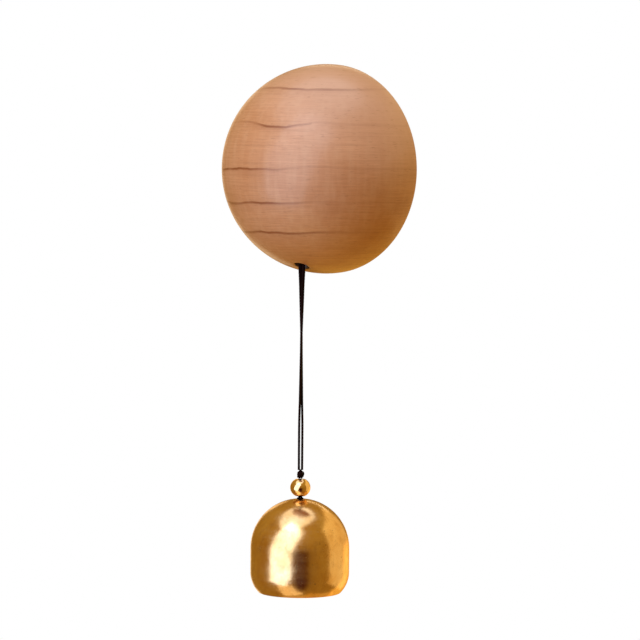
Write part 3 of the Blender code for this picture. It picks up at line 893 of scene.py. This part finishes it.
def cord_material():
    """Waxed cotton: very dark maroon-black, with the lay of the yarn and a dull waxy sheen."""
    made, tree, shader = new_material("waxed_cord", Specular_IOR_Level=0.06)
    yarn = noise(tree, place_of(tree, (2.6, 2.6, 5.2)), detail=3.0, rough=0.6)
    wax = noise(tree, place_of(tree, (0.5, 0.5, 0.4)), detail=3.0)
    wave = {"Vector": place_of(tree, (1.4, 1.4, 2.2)), "Scale": 1.0, "Distortion": 1.5, "Detail": 2.0}
    lay = node(tree, "ShaderNodeTexWave", wave, bands_direction="DIAGONAL").outputs["Fac"]
    base = mix(tree, spread(tree, yarn, 0.35, 0.7), (0.0035, 0.0005, 0.0007), (0.0100, 0.0012, 0.0018))
    base = mix(tree, spread(tree, wax, 0.45, 0.75, 0.0, 0.4), base, (0.0190, 0.0028, 0.0040))
    roughness = spread(tree, wax, 0.35, 0.7, 0.50, 0.72)
    relief = calc(tree, "ADD", yarn, calc(tree, "MULTIPLY", lay, 0.8))
    finish_material(tree, shader, base, roughness, relief, 0.8, 0.05 * MM)
    return made


def steel_material():
    """Zinc-plated steel with rolling lines and faint crystalline patches."""
    made, tree, shader = new_material("zinc_steel", Metallic=1.0)
    roll = noise(tree, place_of(tree, (0.05, 1.0, 5.5)), detail=4.0, rough=0.65)
    patch = spread(tree, cell_distance(tree, place_of(tree, (0.5, 0.5, 0.5))), 0.1, 0.9)
    base = mix(tree, patch, (0.66, 0.67, 0.69), (0.52, 0.53, 0.55))
    base = mix(tree, spread(tree, roll, 0.45, 0.75, 0.0, 0.3), base, (0.42, 0.42, 0.44))
    roughness = spread(tree, roll, 0.3, 0.7, 0.28, 0.42)
    finish_material(tree, shader, base, roughness, roll, 0.5, 0.02 * MM)
    return made


def nickel_material():
    """Nickel plating with a fine orange-peel and light handling marks."""
    made, tree, shader = new_material("nickel_plate", Metallic=1.0)
    peel = noise(tree, place_of(tree, (1.2, 1.2, 1.2)), detail=2.0)
    marks = noise(tree, place_of(tree, (0.12, 2.0, 2.4), (0.0, 0.0, 2.0)), detail=4.0, distortion=0.8)
    base = mix(tree, spread(tree, marks, 0.4, 0.75), (0.76, 0.73, 0.68), (0.64, 0.61, 0.56))
    roughness = spread(tree, marks, 0.35, 0.75, 0.14, 0.27)
    relief = calc(tree, "ADD", peel, calc(tree, "MULTIPLY", marks, 0.4))
    finish_material(tree, shader, base, roughness, relief, 0.3, 0.02 * MM)
    return made


def foam_material():
    """Closed-cell foam tape: small cells and a slightly dusty white."""
    made, tree, shader = new_material("foam_tape", Specular_IOR_Level=0.25)
    cells = cell_distance(tree, place_of(tree, (2.6, 2.6, 2.6)))
    dust = noise(tree, place_of(tree, (0.4, 0.4, 0.4)), detail=4.0)
    base = mix(tree, spread(tree, cells, 0.1, 0.7), (0.68, 0.68, 0.66), (0.85, 0.85, 0.82))
    base = mix(tree, spread(tree, dust, 0.45, 0.75, 0.0, 0.3), base, (0.62, 0.61, 0.57))
    roughness = spread(tree, dust, 0.3, 0.7, 0.80, 0.95)
    finish_material(tree, shader, base, roughness, cells, 0.6, 0.08 * MM)
    return made


# ================= light, floor and surroundings =================
def softbox(name, azimuth, elevation, distance, size, radiance, colour, roll=0.0, shape="RECTANGLE"):
    """An area light that faces the object. Its azimuth is counted from the camera's side."""
    width, height = size
    data = bpy.data.lights.new(name, "AREA")
    data.shape = shape
    data.size = width
    data.size_y = height
    area = width * height * (math.pi / 4 if shape == "ELLIPSE" else 1.0)
    data.energy = radiance * math.pi * area
    data.color = colour
    light = bpy.data.objects.new(name, data)
    bpy.context.scene.collection.objects.link(light)
    target = Vector((0, BALL_Y, LIGHT_TARGET_Z))
    light.location = target + distance * direction(CAMERA_AZIMUTH + azimuth, elevation)
    aim = (light.location - target).to_track_quat("Z", "Y").to_matrix()
    light.rotation_euler = (aim @ Matrix.Rotation(math.radians(roll), 3, "Z")).to_euler()
    light.visible_camera = False


def make_lights():
    """A tall cool window, a cool ceiling, and weak warm lights from the sides, behind and below."""
    softbox("key", -38, 12, 0.85, (0.86, 1.94), 1.96, (0.77, 0.86, 1.06), roll=-23)
    softbox("overhead", -45, 78, 0.85, (1.00, 1.35), 1.18, (0.80, 0.87, 1.0), shape="ELLIPSE")
    softbox("rear_high", 168, 26, 0.90, (0.50, 0.07), 1.6, (1.0, 0.86, 0.62))
    softbox("warm_side", 112, 4, 0.80, (1.35, 1.35), 0.53, (1.0, 0.71, 0.32))
    softbox("warm_low", 150, -30, 0.70, (0.75, 0.60), 0.60, (1.0, 0.50, 0.08))
    softbox("table", 150, -72, 0.42, (0.35, 0.35), 0.35, (1.0, 0.55, 0.15))
    softbox("table_front", -40, -60, 0.50, (0.26, 0.38), 0.72, (1.0, 0.74, 0.42))
    softbox("rear_left", -165, -4, 0.90, (0.20, 0.8), 0.85, (1.0, 0.80, 0.52))


def make_surroundings():
    """White behind the object, and a dim warm room in what the metal mirrors."""
    scene = bpy.context.scene
    world = bpy.data.worlds.new("studio")
    scene.world = world
    world.use_nodes = True
    tree = world.node_tree
    tree.nodes.clear()
    towards = node(tree, "ShaderNodeTexCoord").outputs["Generated"]
    rise = node(tree, "ShaderNodeSeparateXYZ", {0: towards}).outputs[2]
    # The room is darkest in a narrow upright strip below eye level, in front of the object.
    upright = vector_math(tree, "MULTIPLY", towards, (1.0, 1.0, 0.25)).outputs[0]
    upright = vector_math(tree, "NORMALIZE", upright).outputs[0]
    strip = tuple(direction(CAMERA_AZIMUTH + 4, -6))
    facing = vector_math(tree, "DOT_PRODUCT", upright, strip).outputs["Value"]
    wide_dim = spread(tree, facing, 0.70, 0.93, 0.0, 0.30)
    dim = calc(tree, "ADD", wide_dim, spread(tree, facing, 0.925, 0.985, 0.0, 0.70))
    dim = calc(tree, "MULTIPLY", dim, spread(tree, rise, 0.15, -0.15))
    colour = mix(tree, spread(tree, rise, 0.0, 0.7), (0.345, 0.176, 0.024), (0.44, 0.246, 0.040))
    colour = mix(tree, dim, colour, (0.050, 0.003, 0.001))
    room = node(tree, "ShaderNodeBackground", {"Color": colour, "Strength": 1.0}).outputs[0]
    white = node(tree, "ShaderNodeBackground", {"Color": (1.0, 1.0, 1.0, 1.0), "Strength": 1.0}).outputs[0]
    seen = node(tree, "ShaderNodeLightPath").outputs["Is Camera Ray"]
    both = node(tree, "ShaderNodeMixShader", {0: seen, 1: room, 2: white}).outputs[0]
    out = node(tree, "ShaderNodeOutputWorld")
    tree.links.new(both, out.inputs["Surface"])
    scene.view_settings.view_transform = "Standard"


def make_floor():
    """Pale paper far below the hanging object. It glows evenly, lights nothing and mirrors in nothing."""
    made, tree, shader = new_material("floor_paper", Roughness=0.9, Emission_Strength=1.0)
    grain = noise(tree, place_of(tree, (0.02, 0.02, 0.02)), detail=3.0)
    base = mix(tree, spread(tree, grain, 0.3, 0.7), (0.78, 0.775, 0.76), (0.81, 0.805, 0.79))
    tree.links.new(base, shader.inputs["Base Color"])
    corners = []
    for x, y in ((-1, -1), (1, -1), (1, 1), (-1, 1)):
        corners.append((x * FLOOR_HALF, BALL_Y + y * FLOOR_HALF, FLOOR_DROP))
    floor = add_mesh("floor", corners, [(0, 1, 2, 3)])
    floor.data.materials.append(made)
    floor.visible_glossy = False
    floor.visible_diffuse = False
    floor.visible_shadow = False


# ================= making it all =================
make_camera()
waxed = cord_material()
strands = make_strands(waxed)
make_bight(waxed)
knot = make_upper_knot(waxed)
make_cord_in_bead(waxed)
make_neck_knot(waxed)
make_inner_knot(waxed)
make_clapper_cord(waxed)

make_ball(wood_material())
zinc = steel_material()
make_wall_side(foam_material(), zinc, nickel_material())
make_pin(zinc)
bell_brass = brass_material("bell_brass", (0.93, 0.70, 0.41), (0.79, 0.50, 0.19), 0.16, 0.0055 * MM, 1.3)
dull_brass = brass_material("bell_brass_inside", (0.70, 0.46, 0.19), (0.52, 0.31, 0.10), 0.34, 0.01 * MM, 1.3)
bead_brass = brass_material("bead_brass", (0.95, 0.72, 0.40), (0.84, 0.58, 0.27), 0.09, 0.002 * MM, 0.4)
make_bead(bead_brass)
make_bell(bell_brass, dull_brass)
make_washer(bell_brass)
make_clapper(bell_brass)

make_lights()
make_surroundings()
make_floor()
